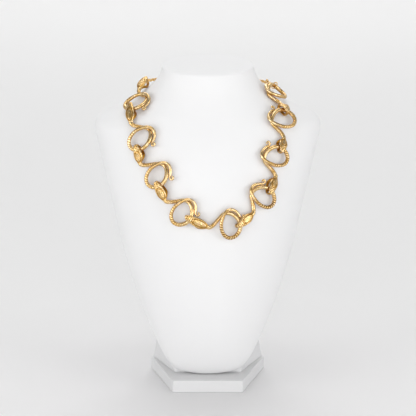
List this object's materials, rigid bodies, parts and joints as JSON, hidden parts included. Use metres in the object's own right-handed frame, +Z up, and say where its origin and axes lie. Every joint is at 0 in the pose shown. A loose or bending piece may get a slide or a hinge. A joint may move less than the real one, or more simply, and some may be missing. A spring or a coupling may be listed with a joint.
{
  "type": "snake link necklace on a neck bust",
  "caption": "Gold-coloured necklace of cast snake links, each head holding the loop of the link before, on a fine cable chain round a plain white neck bust with a flat foot.",
  "frame": {"origin": "middle of the whole object's width and depth, on the underside of the foot", "axes": "+Z up, the front of the bust and of the necklace faces -Y, +X is to the right of someone who looks at the front"},
  "size_m": [0.2026, 0.1638, 0.2906],
  "materials": {
    "gold": "worn gold plate, satin with polished high spots and dark engraved lines",
    "chain_gold": "polished gold plate",
    "bust_white": "smooth white satin"
  },
  "bodies": {
    "root": {"snake_1": "gold", "snake_2": "gold", "snake_3": "gold", "snake_4": "gold", "snake_5": "gold", "snake_6": "gold", "snake_7": "gold", "snake_8": "gold", "snake_9": "gold", "chain_left": "chain_gold", "chain_right": "chain_gold", "clasp": "chain_gold", "bust": "bust_white", "foot": "bust_white"}
  },
  "joints": []
}
